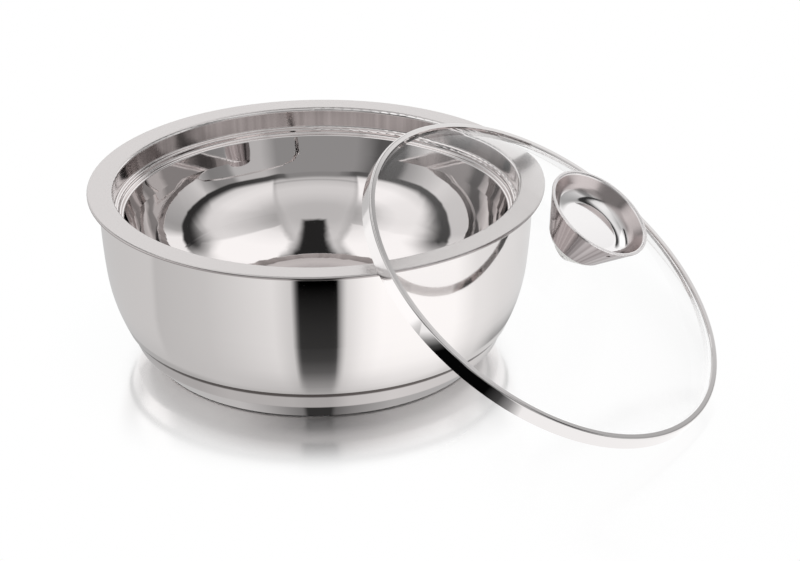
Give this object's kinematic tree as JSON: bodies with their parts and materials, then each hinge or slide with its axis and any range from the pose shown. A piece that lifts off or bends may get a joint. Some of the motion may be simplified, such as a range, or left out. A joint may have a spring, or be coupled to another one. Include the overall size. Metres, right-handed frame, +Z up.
{
  "type": "thermal serving bowl",
  "caption": "Round insulated stainless serving bowl with a wide flange, and a domed glass lid with a steel band and a flared dished knob, lifted off and leaning on the flange.",
  "frame": {"origin": "on the table, at the middle of the bowl's foot ring", "axes": "+Z up along the bowl's axis; the lid leans out towards +X and a little towards -Y, where the viewer stands"},
  "size_m": [0.3005, 0.2618, 0.1157],
  "materials": {
    "liner_steel": "mirror-polished stainless steel inside, satin flange",
    "shell_steel": "mirror-polished stainless steel",
    "base_steel": "mirror-polished stainless steel",
    "foam": "matte light insulating foam",
    "clear_glass": "gloss tempered glass",
    "band_steel": "mirror-polished stainless steel",
    "knob_steel": "satin stainless steel",
    "dish_steel": "satin stainless steel",
    "screw_steel": "plain machined stainless steel",
    "silicone": "matte translucent silicone"
  },
  "bodies": {
    "bowl": {"inner_liner": "liner_steel", "outer_shell": "shell_steel", "insulation_foam": "foam", "base_cup": "base_steel"},
    "lid": {"lid_glass": "clear_glass", "lid_rim_band": "band_steel", "knob_body": "knob_steel", "knob_dish": "dish_steel", "knob_boss": "screw_steel", "knob_screw": "screw_steel", "screw_washer": "screw_steel", "upper_seal": "silicone", "lower_seal": "silicone"}
  },
  "joints": [
    {"name": "lid_lift", "type": "slide", "parent": "bowl", "child": "lid", "axis": [0, 0, 1], "range_m": [0, 0.2]}
  ]
}
